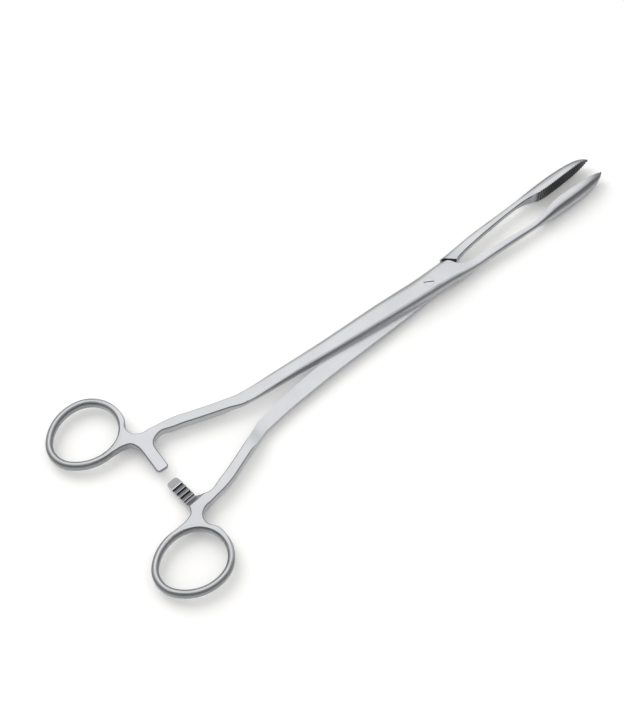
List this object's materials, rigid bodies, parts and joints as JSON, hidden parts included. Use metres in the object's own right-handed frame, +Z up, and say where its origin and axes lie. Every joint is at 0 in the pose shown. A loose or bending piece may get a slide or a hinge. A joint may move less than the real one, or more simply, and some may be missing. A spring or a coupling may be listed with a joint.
{
  "type": "dressing forceps",
  "caption": "Long ring-handled dressing forceps with a ratchet, a screw lap joint and slim serrated jaws that open and close.",
  "frame": {"origin": "centre of the joint screw's flat tail, on the hinge axis, in the plane the forceps lie on", "axes": "+X towards the jaw tips, along the forceps; +Y towards the upper half's finger ring; +Z up along the hinge axis, out of the screw's slotted head"},
  "size_m": [0.2581, 0.097, 0.0081],
  "materials": {
    "satin_steel": "fine satin, slightly cool grey",
    "screw_steel": "satin, with a fine slot"
  },
  "bodies": {
    "back_half": {"back_half": "satin_steel", "joint_screw": "screw_steel"},
    "front_half": {"front_half": "satin_steel"}
  },
  "joints": [
    {"name": "joint_hinge", "type": "hinge", "parent": "back_half", "child": "front_half", "pos_m": [0, 0, 0.0041], "axis": [0, 0, 1], "range_deg": [-30, 4.8]}
  ]
}
